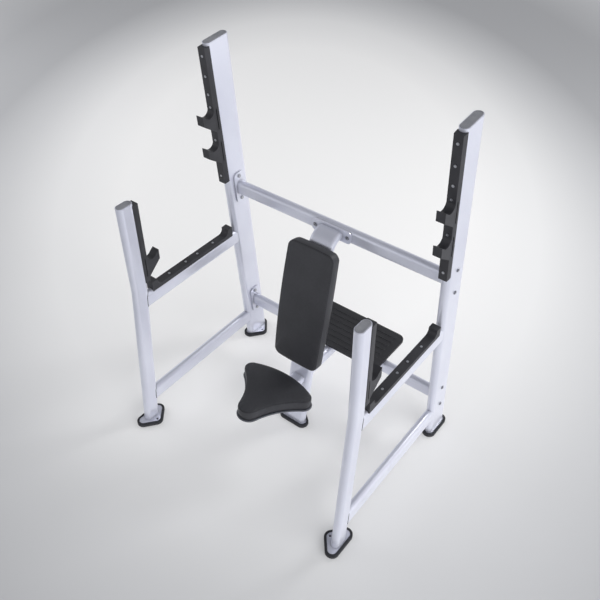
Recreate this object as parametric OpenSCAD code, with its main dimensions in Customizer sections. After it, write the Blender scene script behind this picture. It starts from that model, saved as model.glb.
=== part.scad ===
// Seated olympic bench: two welded side frames of flat-oval tube, joined by two bolted
// cross-beams, with a leaning back column that carries the back pad and the saddle seat.
// Millimetres, +Z up, +Y to the back, the lifter faces -Y.

/* [Side frames] */
// Distance between the middle planes of the two side frames
side_spacing = 1140; // [1100:5:1180]
// Distance between the middle lines of the rear and front uprights at the floor
upright_spacing = 812; // [790:2:840]
// Length of the rear uprights' middle line above the floor
rear_len = 1725; // [1690:5:1780]
// Height of the front uprights
front_h = 1226; // [1210:1:1250]
// Forward lean of the rear uprights in degrees
rear_lean = 5.2; // [4.6:0.1:5.6]
// Backward lean of the front uprights below their bend, in degrees
front_lean = 5.1; // [4.5:0.1:5.5]
// Height of the bend above which the front uprights stand upright
front_bend_z = 786; // [780:1:794]
// Radius of that bend, at the tube's middle line
front_bend_r = 250; // [150:10:300]
// Height of the middle of the upper safety rails
upper_rail_z = 717; // [700:1:730]
// Height of the middle of the lower rails
lower_rail_z = 150; // [130:1:170]

/* [Tubes] */
// Thickness of the uprights, across the bench
tube_t = 40; // [38:1:44]
// Wall of all tubes
wall = 3; // [2:0.5:4]
// Depth of the rear uprights' section
rear_tube_d = 131; // [124:1:138]
// Depth of the front uprights' section
front_tube_d = 77; // [72:1:84]
// Thickness of the rails
rail_t = 38; // [34:1:38]
// Height of the rails
rail_h = 80; // [70:1:90]
// Thickness of the cross-beams and of the link tube
beam_t = 40; // [36:1:44]
// Height of the cross-beams and of the link tube
beam_h = 71; // [66:1:78]

/* [Feet] */
// Length of a rubber foot along its long edge
foot_len = 160; // [154:1:172]
// Distance from the tube's middle to the foot's long edge
foot_out = 36; // [34:1:40]
// Distance from the tube's middle to the foot's round tip
foot_in = 67; // [62:1:76]
// Radius of the foot's three corners
foot_r = 32; // [28:1:34]
// Width of the rubber rim around the base plate
foot_rim = 11; // [8:1:13]
// Thickness of rubber under the base plate
foot_base = 10; // [6:1:14]
// Height of the rubber rim above the base plate
foot_lip = 2; // [1:0.5:4]
// Thickness of the base plates
plate_t = 8; // [6:1:10]
// Radius of the anchor hole in each foot
anchor_r = 5.5; // [4.5:0.5:6.5]
// Distance from the tube's middle to the anchor hole
anchor_in = 42; // [40:1:46]

/* [End caps] */
// Depth of the plug inside the tube
cap_plug = 22; // [12:1:40]
// Height of the cap above the end of the tube
cap_rise = 2; // [1:0.5:5]
// Depth of the oval recess in the cap's top
cap_recess = 1; // [0.5:0.25:1.5]

/* [Bar hooks and guards] */
// Width of the guards where they meet the tube
guard_w = 40; // [39:0.5:42]
// Width of the guards' flat faces and of the hooks
hook_w = 37; // [34:0.5:39]
// Distance from the tube's round edge to the guard's flat face
guard_face = 18; // [15:1:22]
// Distance that the guard reaches back over the tube's round edge
guard_wrap = 11; // [8:1:13]
// Length of the rear racks
rack_len = 650; // [630:2:680]
// Gap between a front guard's lower end and the top of the safety-rail guard's stop
front_guard_gap = 17; // [10:1:26]
// Distance from a front guard's lower end up to the root of its hook
front_hook_low = 20; // [16:1:30]
// Distance from the end of the tube down to the guards' upper end
guard_drop = 12; // [6:1:20]
// Distance from a guard's upper end down to the top of its first hook's tip
hook_drop = 272; // [255:1:285]
// Distance between the two hooks of a rear rack
hook_pitch = 160; // [150:1:175]
// Distance from the tube's round edge to the hook's tip
hook_reach = 86; // [80:1:95]
// Height of the hook's front face
hook_tip = 47; // [40:1:55]
// Height of the hook's root below the top of its tip
hook_root = 106; // [95:1:118]
// Radius of the cradle that the bar lies in
cradle_r = 28; // [24:1:29]
// Length of the relief slot beside each hook
slot_len = 98; // [80:1:110]
// Width of the relief slot
slot_w = 5; // [3:0.5:7]
// Depth of the relief slot
slot_depth = 2.5; // [1.5:0.5:4]

/* [Safety-rail guards] */
// Height of the tray's flat top above the rail
tray_face = 10; // [8:1:16]
// Distance that the tray reaches down over the rail's round top
tray_wrap = 9; // [6:1:12]
// Height of the end stops above the flat top
stop_h = 32; // [26:1:36]
// Length of the end stops
stop_len = 30; // [24:1:36]
// Radius between the flat top and the stops
stop_r = 24; // [16:1:26]
// Gap between the tray and the uprights
tray_gap = 24; // [20:1:34]

/* [Cross-beams] */
// Height of the middle of the upper cross-beam
upper_beam_z = 997; // [988:1:1006]
// Height of the middle of the lower cross-beam
lower_beam_z = 258; // [250:1:266]
// Thickness of all flange plates
flange_t = 8; // [6:1:10]
// Width of the flange plates at the ends of the cross-beams
end_flange_w = 60; // [50:1:80]
// Distance between the two bolts of an end flange
end_bolt_pitch = 123; // [116:1:132]
// Distance from a bolt to the end of its flange plate
flange_edge = 18; // [15:1:22]
// Height of the flange plates on the cross-beams' fronts
front_flange_h = 60; // [56:1:70]
// Distance between the two bolts of a front flange
front_bolt_pitch = 170; // [168:1:180]

/* [Back column] */
// Width of the back column
column_w = 125; // [115:1:126]
// Thickness of the back column
column_t = 40; // [36:1:44]
// Backward lean of the back column in degrees
column_lean = 11.6; // [11:0.1:12]
// Distance from the rear uprights' middle line forward to the column's middle, at the floor
column_reach = 384; // [378:1:394]
// Radius of the column's bend, at its middle line
column_bend = 64; // [56:1:68]

/* [Back pad] */
// Width of the back pad
back_w = 250; // [230:2:280]
// Length of the back pad
back_len = 610; // [580:2:640]
// Distance from the floor to the pad's lower edge, along the column
back_low = 390; // [380:1:400]
// Thickness of the back cushion
back_t = 50; // [40:1:60]
// Extra thickness of the back cushion at the middle of its length
back_bow = 8; // [0:1:12]
// Thickness of the back board
back_board_t = 9.5; // [8:0.5:14]
// Corner radius of the back pad
back_r = 32; // [20:1:45]
// Distance from the pad's lower edge to its lower bolt
back_bolt_low = 130; // [100:2:160]
// Distance between the back pad's two bolts
back_bolt_pitch = 300; // [250:2:340]

/* [Seat] */
// Height of the plane of the seat's top edge, above the column's foot
seat_top = 364; // [358:1:372]
// Rise of the seat towards its nose in degrees
seat_tilt = 6; // [4:0.5:8]
// Distance from the column's foot to the middle of the seat's rear edge
seat_rear = 50; // [46:1:58]
// Distance from the column's foot to the seat's nose
seat_nose = 369; // [360:1:384]
// Half of the seat's width
seat_half_w = 186; // [178:1:194]
// Radius of the seat's round rear edge
seat_rear_r = 380; // [350:5:420]
// Radius of the seat's two rear corners
seat_corner_r = 37; // [32:1:42]
// Radius of the seat's nose
seat_nose_r = 50; // [46:1:54]
// Radius of the seat's hollow sides
seat_side_r = 354; // [340:2:420]
// Thickness of the seat cushion at its edge
seat_t = 42; // [38:1:46]
// Height of the seat tray
tray_h = 18; // [16:1:19]
// Wall of the seat tray
tray_wall = 8; // [7:0.5:10]
// Distance that the seat tray stands out past the cushion
tray_lip = 5; // [3:0.5:6]
// Thickness of the seat tray's floor
tray_base = 4; // [3:0.5:5]
// Thickness of the seat board
seat_board_t = 14; // [12:1:16]
// Crown of both cushions
crown = 6; // [3:0.5:9]
// Width of the seat arm's tube
arm_w = 72; // [66:1:80]
// Height of the seat arm's tube
arm_h = 40; // [34:1:44]
// Height of the middle of the seat arm above the floor
arm_z = 272; // [262:1:276]
// Length of the seat arm in front of the column's middle
arm_len = 270; // [256:1:284]
// Thickness of the seat bracket's plates
bracket_t = 5; // [4:0.5:6]
// Length of the seat bracket
bracket_len = 130; // [110:2:150]
// Width of the seat bracket
bracket_w = 110; // [90:2:140]

/* [Spotter's platform] */
// Width of the platform
platform_w = 564; // [540:2:600]
// Depth of the platform
platform_d = 277; // [270:1:296]
// Distance that the platform reaches in front of the lower cross-beam's middle
platform_front = 92; // [85:1:104]
// Thickness of the platform's steel plate
deck_t = 4; // [3:0.5:6]
// Thickness of the tread
tread_t = 12; // [8:1:16]
// Corner radius of the platform
platform_r = 38; // [25:1:50]
// Number of ribs on the tread
rib_n = 7; // [4:1:9]
// Width of a rib
rib_w = 14; // [8:1:18]
// Height of a rib
rib_h = 2.5; // [1.5:0.5:4]
// Distance between the two platform brackets
platform_bracket_pitch = 360; // [300:5:420]
// Width of a platform bracket's flange
platform_bracket_w = 40; // [30:1:50]
// Distance from the lower cross-beam's middle back to the first bolts in a bracket
platform_bolt_near = 70; // [60:1:80]
// Distance between the two rows of bolts in a bracket
platform_bolt_pitch = 70; // [60:1:80]

/* [Fasteners] */
// Radius of the frame bolts
bolt_r = 5; // [4:0.5:6]
// Radius of the frame bolts' heads
bolt_head_r = 9; // [8:0.5:11]
// Height of the frame bolts' heads
bolt_head_h = 5.5; // [4:0.5:7]
// Radius of the guard screws
screw_r = 3; // [2:0.5:3.5]
// Radius of the guard screws' heads
screw_head_r = 5.5; // [5:0.5:7]
// Height of the guard screws' heads
screw_head_h = 3; // [2.5:0.5:4]
// Depth that a guard screw's head is sunk in its guard
screw_sink = 2; // [1:0.5:2.5]

/* [Hidden] */
$fn = 48;
// Clearance between pieces that are welded or pressed together
seat_gap = 0.2;
// Clearance around bolts and screws in their holes
bolt_gap = 0.5;
// Clearance between a cushion and its neighbours
soft_gap = 0.3;
// Hairline between the straight and bent lengths of a tube, and the turn of the sleeve that joins them
seam = 0.03;
sleeve_turn = 2;
// Depth by which a hook's round cradle cuts behind the guard's face and the lip's slope
bite = 1;
// Overrun of a cut past the faces that it opens
over = 1;
// Distance that a tube's cutter reaches past everything
far = 3000;

silver = "#d5d8e6";
cap_grey = "#8b8f9a";
guard_black = "#3c3d42";
rubber_black = "#2b2c30";
vinyl_black = "#323338";
bright_steel = "#c9ccd4";
board_brown = "#8a6a48";

// Heights of the stack under an upright
plate_z = foot_base;
frame_z = plate_z + plate_t;
// The object's box is centred on the origin: front feet at one end, platform at the other
beam_lean = tan(rear_lean);
platform_back = platform_d - platform_front - lower_beam_z * beam_lean;
rear_y = (upright_spacing - frame_z * tan(front_lean) + foot_len / 2 - platform_back) / 2;
front_y = rear_y - upright_spacing;
// The front uprights' bend, between their leaning and their upright lengths
front_top_y = front_y + front_bend_z * tan(front_lean);
front_bend_run = front_bend_r * tan(front_lean / 2);
front_leg = front_bend_z / cos(front_lean) - front_bend_run;
column_y = rear_y - column_reach;
inner_x = side_spacing / 2 - tube_t / 2;
beam_half = inner_x - flange_t - seat_gap;

function rear_line_y(z) = rear_y - z * tan(rear_lean);
function front_line_y(z) = front_y + z * tan(front_lean);
function column_line_y(z) = column_y + z * tan(column_lean);
// Height of a point above the floor, as a length along the leaning rear upright
function along_rear(z) = z / cos(rear_lean);

upper_beam_y = rear_line_y(upper_beam_z);
lower_beam_y = rear_line_y(lower_beam_z);
rail_top_z = upper_rail_z + rail_h / 2;

// Screws of a guard, as distances below its upper end
hook_screw = hook_drop - 9;
function guard_screws(drop) = [35, drop * 0.45, drop * 0.75, drop - 9];
rack_screws_z = concat(guard_screws(hook_drop), [hook_screw + hook_pitch, rack_len - 39]);
// The front guard ends above the safety-rail guard, and its hook stands near its lower end
front_guard_len = front_h - guard_drop - rail_top_z - tray_face - stop_h - front_guard_gap;
front_hook_drop = front_guard_len - front_hook_low - hook_root;
front_screws_z = concat(guard_screws(front_hook_drop), [front_guard_len - 16]);

// The tray on an upper rail, from its front end to its rear end
tray_rear_y = rear_line_y(rail_top_z) - rear_tube_d / 2 - tray_gap;
tray_front_y = front_line_y(rail_top_z) + front_tube_d / 2 + tray_gap;
tray_len = tray_rear_y - tray_front_y;
tray_middle = (tray_rear_y + tray_front_y) / 2;
tray_screw_wide = tray_len * 0.275;
tray_screw_near = tray_len * 0.073;
tray_screws_y = [for (d = [-tray_screw_wide, -tray_screw_near, tray_screw_near, tray_screw_wide])
    tray_middle + d];

// The column's bend, from its leaning length to a level end on the upper cross-beam
bend_z = upper_beam_z - column_bend;
bend_start_z = bend_z + column_bend * sin(column_lean);
bend_y = column_line_y(bend_start_z) + column_bend * cos(column_lean);
bend_start = bend_start_z / cos(column_lean);
column_end_y = upper_beam_y - beam_t / 2 - flange_t - 2 * seat_gap;

// The seat's stack, as heights in the seat's own tilted frame
seat_board_top = seat_top - seat_t;
tray_floor = seat_board_top - seat_board_t - tray_base - seat_gap;
seat_plate_top = tray_floor - seat_gap;
arm_top_z = arm_z + arm_h / 2;
arm_front_y = column_line_y(arm_z) - arm_len;
// Screws that hold the seat, as places across and in front of the column
seat_bolt_x = bracket_w / 2 - 20;
bracket_rear = column_y - arm_front_y - bracket_len - 10;
seat_bolts_at = [for (x = [-seat_bolt_x, seat_bolt_x], f = [20, bracket_len - 20]) [x, bracket_rear + f]];

// The back pad's middle along the column, and the face that its board lies on
back_middle = back_low + back_len / 2;
board_face = column_t / 2 + seat_gap;
pad_face = board_face + back_board_t + soft_gap;
back_bolts_z = [back_low + back_bolt_low, back_low + back_bolt_low + back_bolt_pitch];
board_inset = 14;

// The platform's stack above the lower cross-beam
deck_z = lower_beam_z + beam_h / 2 + seat_gap;
tread_z = deck_z + deck_t + seat_gap;
platform_y = lower_beam_y - platform_front + platform_d / 2;
deck_inset = 12;
platform_bolt_y = [platform_bolt_near, platform_bolt_near + platform_bolt_pitch];
nut_h = bolt_r * 1.1;

// Flat-oval section: flat sides with half-round ends along Y
module flat_oval(t, d) {
    square([t, d - t], center = true);
    translate([0, (d - t) / 2]) circle(d = t);
    translate([0, -(d - t) / 2]) circle(d = t);
}

// The section of a backing sleeve inside the bend of a flat-oval tube
module sleeve_ring(t, d) {
    difference() {
        flat_oval(t - 2 * wall + 1, d - 2 * wall + 1);
        flat_oval(t - 2 * wall - 4, d - 2 * wall - 4);
    }
}

// The section of a flat-oval tube
module oval_ring(t, d) {
    difference() {
        flat_oval(t, d);
        flat_oval(t - 2 * wall, d - 2 * wall);
    }
}

// Rectangle with round corners
module round_rect(w, h, r) {
    square([w - 2 * r, h], center = true);
    square([w, h - 2 * r], center = true);
    for (x = [-1, 1], y = [-1, 1])
        translate([x * (w / 2 - r), y * (h / 2 - r)]) circle(r);
}

// Frames of the leaning pieces: Z along the piece, from the floor
module on_rear_upright(side) {
    translate([side * side_spacing / 2, rear_y, 0]) rotate([rear_lean, 0, 0]) children();
}

module on_front_upright(side) {
    translate([side * side_spacing / 2, front_y, 0]) rotate([-front_lean, 0, 0]) children();
}

// Frame of the upright length of a front upright
module on_front_top(side) {
    translate([side * side_spacing / 2, front_top_y, 0]) children();
}

module on_column() {
    translate([0, column_y, 0]) rotate([-column_lean, 0, 0]) children();
}

// Everything below a level plane
module below(z) {
    translate([-far / 2, -far / 2, z - far]) cube(far);
}

// Hole along X, Y or Z through everything near the origin
module hole_x(r, length) {
    rotate([0, 90, 0]) cylinder(r = r, h = length, center = true);
}

module hole_y(r, length) {
    rotate([90, 0, 0]) cylinder(r = r, h = length, center = true);
}

// Solid outline of an upright, with a clearance, to cope its neighbours
module rear_upright_space(side) {
    on_rear_upright(side)
        translate([0, 0, -tube_t])
            linear_extrude(rear_len + 2 * tube_t)
                flat_oval(tube_t + 2 * seat_gap, rear_tube_d + 2 * seat_gap);
}

module front_upright_space(side) {
    on_front_upright(side)
        translate([0, 0, -tube_t])
            linear_extrude(front_leg + 2 * tube_t)
                flat_oval(tube_t + 2 * seat_gap, front_tube_d + 2 * seat_gap);
}

// Places of the bolts through a rear upright, along it
function beam_bolt_places() = [for (z = [upper_beam_z, lower_beam_z], d = [-1, 1])
    along_rear(z) + d * end_bolt_pitch / 2];

module rear_upright(side) {
    color(silver) difference() {
        on_rear_upright(side) difference() {
            translate([0, 0, -tube_t]) linear_extrude(rear_len + tube_t) oval_ring(tube_t, rear_tube_d);
            for (z = beam_bolt_places())
                translate([0, 0, z]) hole_x(bolt_r + bolt_gap, tube_t + 2 * over);
            for (drop = rack_screws_z)
                translate([0, -rear_tube_d / 2, rear_len - guard_drop - drop])
                    hole_y(screw_r + bolt_gap, 4 * wall);
        }
        below(frame_z);
    }
}

// A front upright leans back from its foot, then bends to stand upright
module front_upright(side) {
    bend_top = front_bend_z + front_bend_run;
    color(silver) difference() {
        union() {
            on_front_upright(side) translate([0, 0, -tube_t])
                linear_extrude(front_leg + tube_t - seam) oval_ring(tube_t, front_tube_d);
            on_front_top(side) translate([0, -front_bend_r, bend_top]) rotate([90, 0, 90]) {
                rotate([0, 0, -front_lean]) rotate_extrude(angle = front_lean)
                    translate([front_bend_r, 0]) rotate(90) oval_ring(tube_t, front_tube_d);
                rotate([0, 0, -front_lean - sleeve_turn]) rotate_extrude(angle = front_lean + 2 * sleeve_turn)
                    translate([front_bend_r, 0]) rotate(90) sleeve_ring(tube_t, front_tube_d);
            }
            on_front_top(side) translate([0, 0, bend_top + seam])
                linear_extrude(front_h - bend_top - seam) oval_ring(tube_t, front_tube_d);
        }
        below(frame_z);
        on_front_top(side) for (drop = front_screws_z)
            translate([0, front_tube_d / 2, front_h - guard_drop - drop]) hole_y(screw_r + bolt_gap, 4 * wall);
    }
}

// Level tube between the two uprights of a side frame, its ends coped to their round edges
module side_rail(side, z) {
    start = front_line_y(z);
    translate([side * side_spacing / 2, start, z])
        rotate([-90, 0, 0])
            linear_extrude(rear_line_y(z) - start) oval_ring(rail_t, rail_h);
}

module upper_rail(side) {
    color(silver) difference() {
        side_rail(side, upper_rail_z);
        rear_upright_space(side);
        front_upright_space(side);
        for (y = tray_screws_y)
            translate([side * side_spacing / 2, y, rail_top_z])
                cylinder(r = screw_r + bolt_gap, h = 4 * wall, center = true);
    }
}

module lower_rail(side) {
    color(silver) difference() {
        side_rail(side, lower_rail_z);
        rear_upright_space(side);
        front_upright_space(side);
    }
}

// Plug with a low rim on top, pressed into the end of an upright
module end_cap(depth, length) {
    cap_t = tube_t - 2 * wall - 2 * seat_gap;
    cap_d = depth - 2 * wall - 2 * seat_gap;
    rim = 3;
    color(cap_grey) difference() {
        translate([0, 0, length - cap_plug]) linear_extrude(cap_plug + cap_rise) flat_oval(cap_t, cap_d);
        translate([0, 0, length + cap_rise - cap_recess])
            linear_extrude(cap_recess + over) flat_oval(cap_t - 2 * rim, cap_d - 2 * rim);
        translate([0, 0, length - cap_plug - over])
            linear_extrude(cap_plug - rim + over) flat_oval(cap_t - 2 * rim, cap_d - 2 * rim);
    }
}

module rear_cap(side) {
    on_rear_upright(side) end_cap(rear_tube_d, rear_len);
}

module front_cap(side) {
    on_front_top(side) end_cap(front_tube_d, front_h);
}

// Foot outline: a triangle with round corners, its long edge at -X and its tip at +X
module foot_outline(inset) {
    r = foot_r - inset;
    a = [-foot_out + foot_r, -foot_len / 2 + foot_r];
    b = [-foot_out + foot_r, foot_len / 2 - foot_r];
    c = [foot_in - foot_r, 0];
    slope = (c - b) / norm(c - b);
    n = [slope.y, -slope.x] * -r;
    polygon([a - [r, 0], a + [-n.x, n.y] * -1, [c.x, 0] + [n.x, -n.y], c + n, b + n, b - [r, 0]]);
    for (p = [a, b, c]) translate(p) circle(r);
}

// Places of the five feet: the tip points inwards under the uprights and back under the column
module at_rear_foot(side) {
    translate([side * side_spacing / 2, rear_line_y(frame_z), 0]) mirror([side > 0 ? 1 : 0, 0, 0]) children();
}

module at_front_foot(side) {
    translate([side * side_spacing / 2, front_line_y(frame_z), 0]) mirror([side > 0 ? 1 : 0, 0, 0]) children();
}

module at_column_foot() {
    translate([0, column_line_y(frame_z), 0]) rotate([0, 0, 90]) children();
}

module base_plate() {
    color(silver) difference() {
        translate([0, 0, plate_z]) linear_extrude(plate_t) foot_outline(foot_rim);
        translate([anchor_in, 0, plate_z - over]) cylinder(r = anchor_r, h = plate_t + 2 * over);
    }
}

module rubber_foot() {
    bevel = 2;
    color(rubber_black) difference() {
        union() {
            translate([0, 0, bevel]) linear_extrude(frame_z + foot_lip - 2 * bevel) foot_outline(0);
            linear_extrude(frame_z + foot_lip) foot_outline(bevel);
        }
        translate([0, 0, plate_z - seat_gap]) linear_extrude(far) foot_outline(foot_rim - seat_gap);
        translate([anchor_in, 0, -over]) cylinder(r = anchor_r, h = plate_z + 2 * over);
    }
}

// Bar hook in side view: X away from the tube's round edge, Y up from the top of the tip.
// The bar lies in a round cradle between the guard's face and the rising tip.
module hook_profile() {
    cradle = [guard_face + cradle_r - bite, 2];
    tip = [hook_reach, 0];
    to_tip = tip - cradle;
    touch_angle = atan2(to_tip.y, to_tip.x) - acos((cradle_r - bite) / norm(to_tip));
    touch = cradle + (cradle_r - bite) * [cos(touch_angle), sin(touch_angle)];
    difference() {
        polygon([[guard_face - over, cradle.y], cradle, touch, tip, [hook_reach, -hook_tip],
            [guard_face, -hook_root], [guard_face - over, -hook_root]]);
        translate(cradle) circle(cradle_r);
    }
}

// Guard for an upright's round edge: Y away from the edge, Z along the tube, upper end at 0
module bar_guard(length, hooks, screws) {
    color(guard_black) difference() {
        union() {
            translate([0, 0, -length]) linear_extrude(length)
                polygon([[-guard_w / 2, -guard_wrap], [guard_w / 2, -guard_wrap], [guard_w / 2, 0],
                    [hook_w / 2, guard_face], [-hook_w / 2, guard_face], [-guard_w / 2, 0]]);
            for (drop = hooks)
                translate([hook_w / 2, 0, -drop])
                    rotate([90, 0, -90]) mirror([1, 0, 0]) linear_extrude(hook_w) hook_profile();
        }
        translate([0, -tube_t / 2, -length - over])
            cylinder(r = tube_t / 2 + seat_gap, h = length + 2 * over);
        for (drop = hooks, x = [-1, 1])
            translate([x * guard_w / 2, guard_face / 4, -drop - slot_len / 2])
                cube([2 * slot_depth, slot_w, slot_len], center = true);
        for (drop = screws) translate([0, guard_face, -drop]) {
            hole_y(screw_r + bolt_gap, 3 * guard_face);
            hole_y(screw_head_r + bolt_gap, 2 * screw_sink);
        }
    }
}

module at_rack(side) {
    on_rear_upright(side)
        translate([0, -rear_tube_d / 2, rear_len - guard_drop]) rotate([0, 0, 180]) children();
}

module at_front_guard(side) {
    on_front_top(side) translate([0, front_tube_d / 2, front_h - guard_drop]) children();
}

module bar_rack(side) {
    at_rack(side) bar_guard(rack_len, [hook_drop, hook_drop + hook_pitch], rack_screws_z);
}

module front_guard(side) {
    at_front_guard(side) bar_guard(front_guard_len, [front_hook_drop], front_screws_z);
}

// Tray in side view: X back from its front end, Y up from the rail's top
module tray_profile() {
    top = tray_face + stop_h;
    rear = tray_len - stop_len;
    difference() {
        polygon([[0, -tray_wrap], [tray_len, -tray_wrap], [tray_len, top], [rear, top],
            [rear, tray_face + stop_r], [rear - stop_r, tray_face], [stop_len + stop_r, tray_face],
            [stop_len, tray_face + stop_r], [stop_len, top], [0, top]]);
        translate([rear - stop_r, tray_face + stop_r]) circle(stop_r);
        translate([stop_len + stop_r, tray_face + stop_r]) circle(stop_r);
    }
}

module rail_guard(side) {
    screw_face = rail_top_z + tray_face;
    translate([side * side_spacing / 2, 0, 0]) color(guard_black) difference() {
        translate([-guard_w / 2, tray_front_y, rail_top_z])
            rotate([90, 0, 90]) linear_extrude(guard_w) tray_profile();
        translate([0, tray_middle, rail_top_z - rail_t / 2]) hole_y(rail_t / 2 + seat_gap, tray_len + 2 * over);
        for (y = tray_screws_y) translate([0, y, screw_face]) {
            cylinder(r = screw_r + bolt_gap, h = 4 * tray_face, center = true);
            cylinder(r = screw_head_r + bolt_gap, h = 2 * screw_sink, center = true);
        }
    }
}

// Level tube across the bench
module cross_beam(y, z) {
    translate([-beam_half, y, z]) rotate([90, 0, 90]) linear_extrude(2 * beam_half) oval_ring(beam_t, beam_h);
}

module cross_beam_drilled(y, z) {
    color(silver) difference() {
        cross_beam(y, z);
        for (x = [-1, 1])
            translate([x * front_bolt_pitch / 2, y, z]) hole_y(bolt_r + bolt_gap, beam_t + 2 * over);
    }
}

// Plate at the end of a cross-beam, flat against an upright's inner side
module end_flange(side, z) {
    plate_h = end_bolt_pitch + 2 * flange_edge;
    color(silver) on_rear_upright(side)
        translate([-side * (tube_t / 2 + seat_gap), 0, along_rear(z)]) difference() {
            rotate([90, 0, -side * 90]) linear_extrude(flange_t - seat_gap) round_rect(end_flange_w, plate_h, flange_edge);
            for (d = [-1, 1])
                translate([0, 0, d * end_bolt_pitch / 2]) hole_x(bolt_r + bolt_gap, 4 * flange_t);
        }
}

// Plate on the front of a cross-beam
module front_flange(y, z) {
    plate_w = front_bolt_pitch + 2 * flange_edge;
    color(silver) translate([0, y - beam_t / 2 - seat_gap, z]) difference() {
        rotate([90, 0, 0]) linear_extrude(flange_t) round_rect(plate_w, front_flange_h, flange_edge);
        for (x = [-1, 1])
            translate([x * front_bolt_pitch / 2, 0, 0]) hole_y(bolt_r + bolt_gap, 4 * flange_t);
    }
}

// The column leans back from its foot and bends level to meet the upper cross-beam
module back_column() {
    color(silver) difference() {
        union() {
            on_column() linear_extrude(bend_start - seam) rotate(90) oval_ring(column_t, column_w);
            translate([0, bend_y, bend_z]) rotate([0, 90, 0]) {
                rotate([0, 0, 180]) rotate_extrude(angle = 90 - column_lean)
                    translate([column_bend, 0]) oval_ring(column_t, column_w);
                rotate([0, 0, 180 - sleeve_turn]) rotate_extrude(angle = 90 - column_lean + 2 * sleeve_turn)
                    translate([column_bend, 0]) sleeve_ring(column_t, column_w);
            }
            translate([0, bend_y + seam, upper_beam_z]) rotate([-90, 0, 0])
                linear_extrude(column_end_y - bend_y - seam) rotate(90) oval_ring(column_t, column_w);
        }
        below(frame_z);
        on_column() for (z = back_bolts_z) translate([0, 0, z]) hole_y(bolt_r + bolt_gap, column_t + 2 * over);
    }
}

// Level tube from the column's back to the flange on the lower cross-beam
module link_tube() {
    end = lower_beam_y - beam_t / 2 - flange_t - 2 * seat_gap;
    start = column_line_y(lower_beam_z);
    color(silver) difference() {
        translate([0, start, lower_beam_z]) rotate([-90, 0, 0])
            linear_extrude(end - start) oval_ring(beam_t, beam_h);
        on_column() linear_extrude(bend_start) rotate(90)
            flat_oval(column_t + 2 * seat_gap, column_w + 2 * seat_gap);
    }
}

// Ring of points on an arc, from one angle to another
function arc(centre, r, from, to, steps) =
    [for (i = [0 : steps]) let (a = from + (to - from) * i / steps) centre + r * [cos(a), sin(a)]];

function mirrored(points) = [for (i = [len(points) - 1 : -1 : 0]) [-points[i].x, points[i].y]];

// Saddle outline, X across and Y towards the nose: a round rear edge, two round corners,
// hollow sides and a round nose, each arc touching the next
rear_centre = [0, seat_rear + seat_rear_r];
corner_x = seat_half_w - seat_corner_r;
corner_centre = [corner_x, rear_centre.y - sqrt((seat_rear_r - seat_corner_r) ^ 2 - corner_x ^ 2)];
nose_centre = [0, seat_nose - seat_nose_r];
corner_to_nose = nose_centre - corner_centre;
to_side = seat_side_r + seat_corner_r;
nose_to_side = seat_side_r + seat_nose_r;
span = norm(corner_to_nose);
side_along = (to_side ^ 2 - nose_to_side ^ 2 + span ^ 2) / (2 * span);
side_out = sqrt(to_side ^ 2 - side_along ^ 2);
along = corner_to_nose / span;
side_centre = corner_centre + along * side_along + [along.y, -along.x] * side_out;
corner_angle = atan2(corner_centre.y - rear_centre.y, corner_centre.x);
side_from = atan2(corner_centre.y - side_centre.y, corner_centre.x - side_centre.x);
side_to = atan2(nose_centre.y - side_centre.y, nose_centre.x - side_centre.x);

function turn(a) = a < 0 ? a + 360 : a;

function seat_half() = concat(
    arc(rear_centre, seat_rear_r, -90, corner_angle, 7),
    arc(corner_centre, seat_corner_r, corner_angle + 12, turn(side_from) - 180, 6),
    arc(side_centre, seat_side_r, turn(side_from) - 4, turn(side_to) + 4, 6),
    arc(nose_centre, seat_nose_r, turn(side_to) - 180, 90, 5));

// Both halves, without the points on the middle line twice
function seat_outline() = let (half = seat_half(), n = len(half))
    concat(half, mirrored([for (i = [1 : n - 2]) half[i]]));

// Back pad outline: round corners, sides and ends slightly full
full = 5;
function back_outline(inset) = let (
        w = back_w / 2 - inset - full, h = back_len / 2 - inset - full, r = back_r - inset / 2,
        corners = [[w - r, h - r], [r - w, h - r], [r - w, r - h], [w - r, r - h]],
        plain = [for (q = [0 : 3]) let (next = corners[(q + 1) % 4],
                from = corners[q] + r * [cos(90 * q + 90), sin(90 * q + 90)],
                to = next + r * [cos(90 * q + 90), sin(90 * q + 90)])
            each concat(arc(corners[q], r, 90 * q, 90 * q + 90, 6), [for (t = [0.2 : 0.2 : 0.8]) from + (to - from) * t])])
    [for (p = plain) p + full * [(1 - (p.y / h) ^ 2) * p.x / w, (1 - (p.x / w) ^ 2) * p.y / h]];

// Point of a closed outline moved in by a distance, square to its neighbours
function inset_point(points, i, d) = let (
        n = len(points), run = points[(i + 1) % n] - points[(i + n - 1) % n])
    points[i] + d * [-run.y, run.x] / norm(run);

function middle(points) = [for (k = [0, 1]) (min([for (p = points) p[k]]) + max([for (p = points) p[k]])) / 2];

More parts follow.
